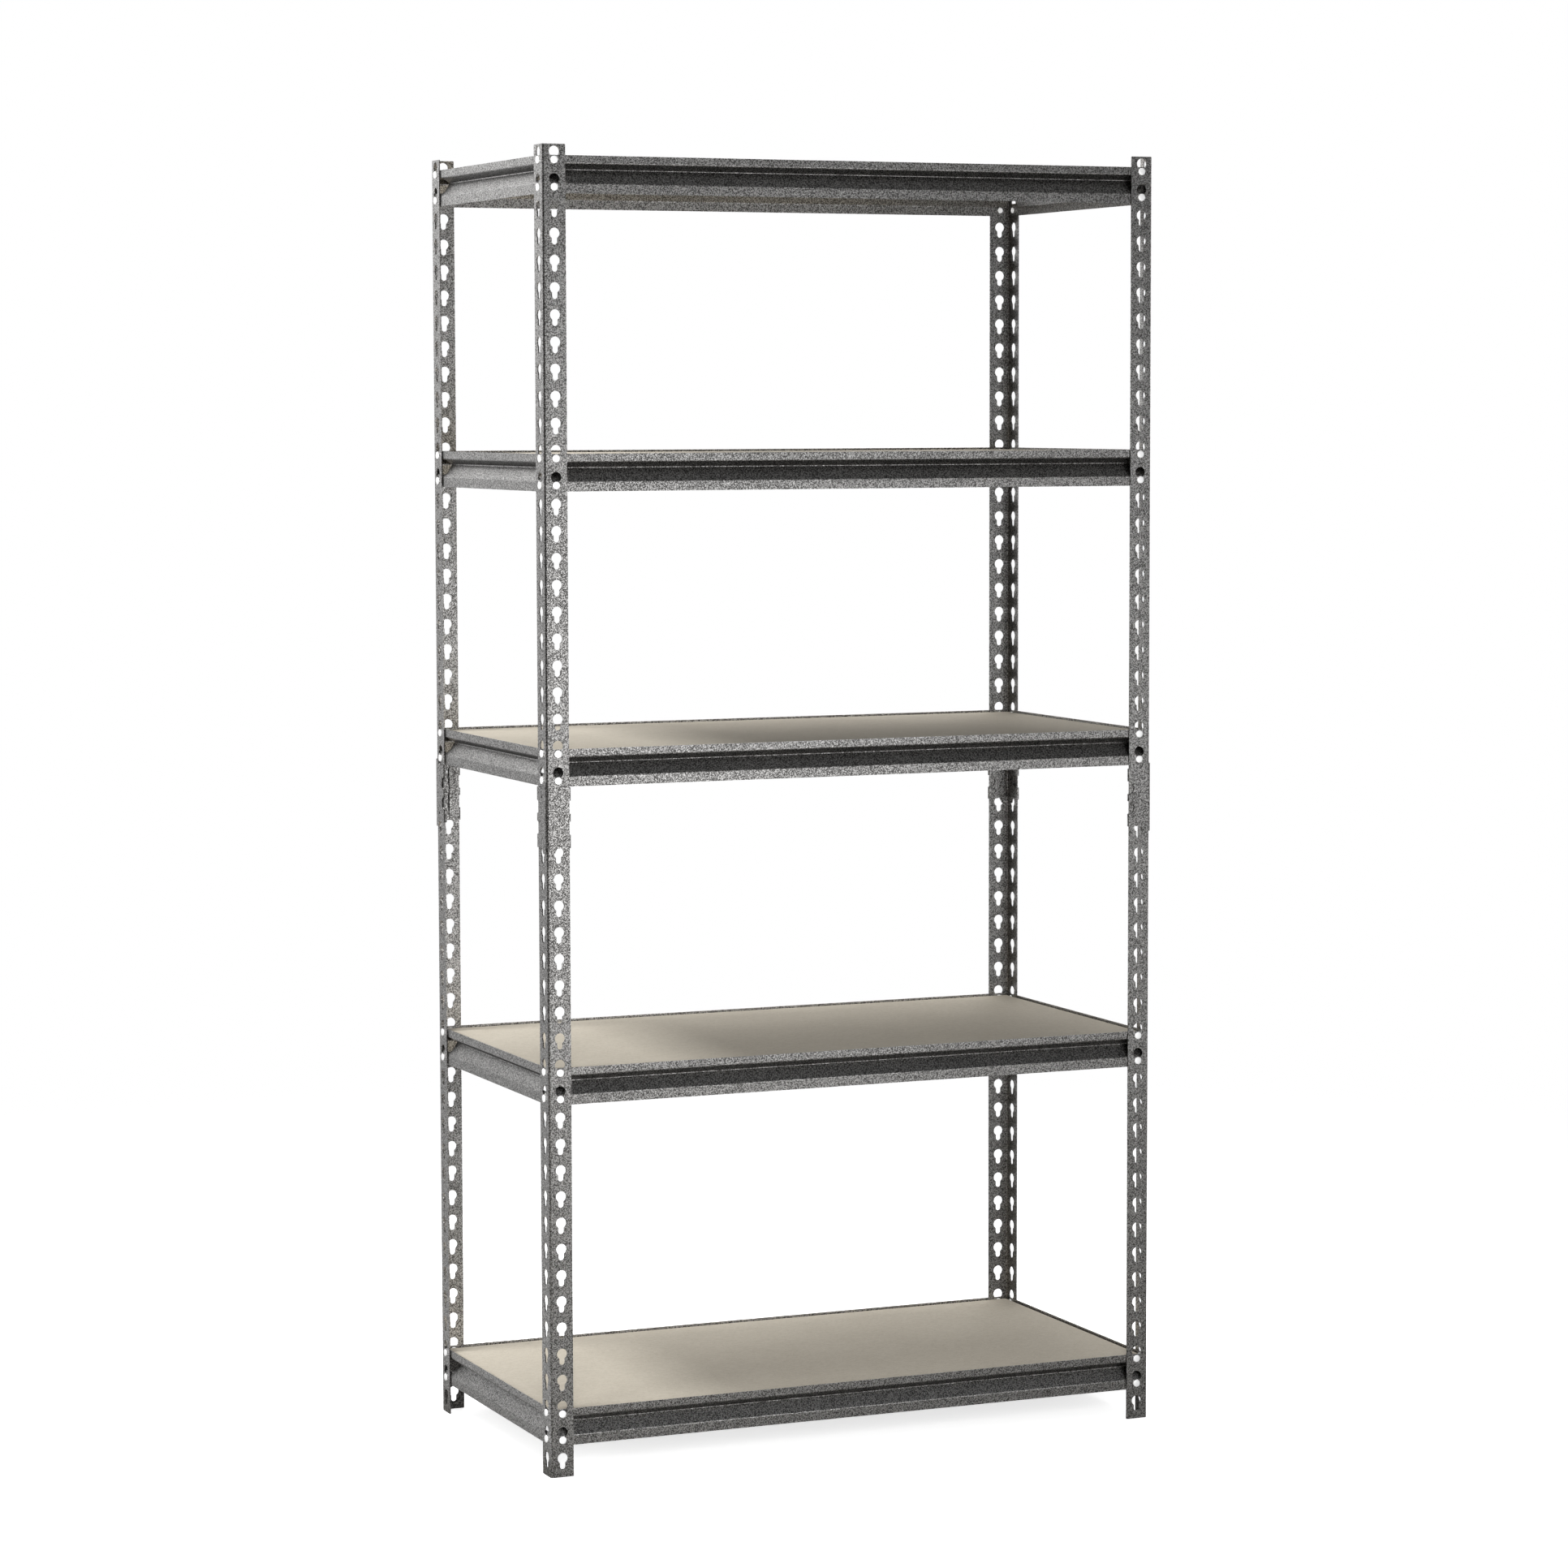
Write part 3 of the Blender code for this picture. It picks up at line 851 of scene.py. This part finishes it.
glow_panel("panel_rear", upright(-4.0, 3.2, 2.1, 0.0, 3.6), 1.6,
           [("Z", [(0.0, 0.30), (0.8, 0.33), (1.4, 0.42), (2.0, 0.62), (3.6, 1.0)])])
glow_panel("panel_low_left", [(-2.6, -0.30, 0.004), (-0.52, -0.30, 0.004), (-0.52, 2.0, 0.004),
                              (-2.6, 2.0, 0.004)], 0.55, [("X", [(-2.6, 0.8), (-0.52, 1.0)])])
glow_panel("panel_right", [(3.2, -1.6, 0.0), (3.2, 2.4, 0.0), (3.2, 2.4, 2.6), (3.2, -1.6, 2.6)],
           0.9, [("Z", [(0.0, 0.5), (1.2, 1.0), (2.6, 0.8)])])
area_light("key_left", (-2.3, 0.2, 3.9), (0.0, 0.0, 0.9), 0.9, 0.9, 88.0)
overhead = area_light("overhead", (0.5, 1.4, 3.2), (0.0, 0.0, 0.9), 1.6, 1.6, 32.0)
overhead.visible_glossy = False
soft_left = area_light("soft_left", (-3.0, -1.2, 0.9), (0.0, 0.0, 0.9), 1.2, 1.2, 48.0)
soft_left.visible_glossy = False
soft_front = area_light("soft_front", (-1.2, -3.0, 1.0), (0.0, 0.0, 0.9), 1.6, 1.2, 110.0)
soft_front.visible_glossy = False

scene = bpy.context.scene
world = bpy.data.worlds.new("studio")
scene.world = world
world.use_nodes = True
w = Nodes(world.node_tree)
back = world.node_tree.nodes["Background"]
where = w.new("ShaderNodeTexCoord")
split = w.new("ShaderNodeSeparateXYZ")
w.link(where.outputs["Generated"], split.inputs[0])
rear = w.mapped(split.outputs["Y"], -0.25, 0.55, 0.04, 0.35, smooth=True)
high = w.mapped(split.outputs["Z"], 0.25, 0.95, 1.0, 0.45, smooth=True)
glow = w.math("MULTIPLY", rear, high)
path_kind = w.new("ShaderNodeLightPath")
soft = w.mapped(split.outputs["Z"], 0.0, 0.9, 0.03, 0.30)
glow = w.mix(path_kind.outputs["Is Diffuse Ray"], glow, soft)
seen = w.mix(path_kind.outputs["Is Camera Ray"], glow, (1.0, 1.0, 1.0))
w.link(seen, back.inputs["Color"])
back.inputs["Strength"].default_value = 1.0

floor_mesh = bpy.data.meshes.new("floor")
rings, spokes = 24, 64
floor_points = [(0.0, 0.0, -0.0004)]
for i in range(1, rings + 1):
    for k in range(spokes):
        a = 2 * math.pi * k / spokes
        floor_points.append((5.0 * i / rings * math.cos(a), 5.0 * i / rings * math.sin(a), -0.0004))
floor_faces = [(0, 1 + k, 1 + (k + 1) % spokes) for k in range(spokes)]
for i in range(rings - 1):
    for k in range(spokes):
        m = (k + 1) % spokes
        floor_faces.append((1 + i * spokes + k, 1 + (i + 1) * spokes + k,
                            1 + (i + 1) * spokes + m, 1 + i * spokes + m))
floor_mesh.from_pydata(floor_points, [], floor_faces)
floor = bpy.data.objects.new("floor", floor_mesh)
scene.collection.objects.link(floor)
floor_mat, n, shader, coords = new_material("studio_floor")
shader.inputs["Base Color"].default_value = (0.88, 0.88, 0.88, 1.0)
shader.inputs["Roughness"].default_value = 0.9
shader.inputs["Specular IOR Level"].default_value = 0.1
shader.inputs["Emission Color"].default_value = (1.0, 1.0, 1.0, 1.0)
shader.inputs["Emission Strength"].default_value = 0.70
far_off = n.new("ShaderNodeVectorMath", operation="LENGTH")
n.link(coords.outputs["Object"], far_off.inputs[0])
n.link(n.mapped(far_off.outputs["Value"], 1.0, 3.4, 1.0, 0.0, smooth=True), shader.inputs["Alpha"])
dull = n.new("ShaderNodeBsdfDiffuse")
dull.inputs["Color"].default_value = (0.20, 0.195, 0.185, 1.0)
ray = n.new("ShaderNodeLightPath")
pick = n.new("ShaderNodeMixShader")
n.link(ray.outputs["Is Camera Ray"], pick.inputs[0])
n.link(dull.outputs[0], pick.inputs[1])
n.link(shader.outputs[0], pick.inputs[2])
n.link(pick.outputs[0], floor_mat.node_tree.nodes["Material Output"].inputs["Surface"])
floor_mesh.materials.append(floor_mat)

# ---------------------------------------------------------------------- camera
yaw, pitch, roll = math.radians(23.187), math.radians(-4.857), math.radians(-0.140)
forward = Vector((math.sin(yaw) * math.cos(pitch), math.cos(yaw) * math.cos(pitch), math.sin(pitch)))
across = Vector((math.cos(yaw), -math.sin(yaw), 0.0))
upward = across.cross(forward)
cam_x = across * math.cos(roll) + upward * math.sin(roll)
cam_y = upward * math.cos(roll) - across * math.sin(roll)
cam_data = bpy.data.cameras.new("camera")
cam_data.lens, cam_data.sensor_width = 102.19, 36.0
cam_data.clip_start, cam_data.clip_end = 0.1, 60.0
camera = bpy.data.objects.new("camera", cam_data)
scene.collection.objects.link(camera)
camera.matrix_world = Matrix((
    (cam_x.x, cam_y.x, -forward.x, -2.5411),
    (cam_x.y, cam_y.y, -forward.y, -5.9047),
    (cam_x.z, cam_y.z, -forward.z, 1.4727),
    (0, 0, 0, 1)))
scene.camera = camera
scene.view_settings.view_transform = "Standard"
scene.view_settings.look = "None"
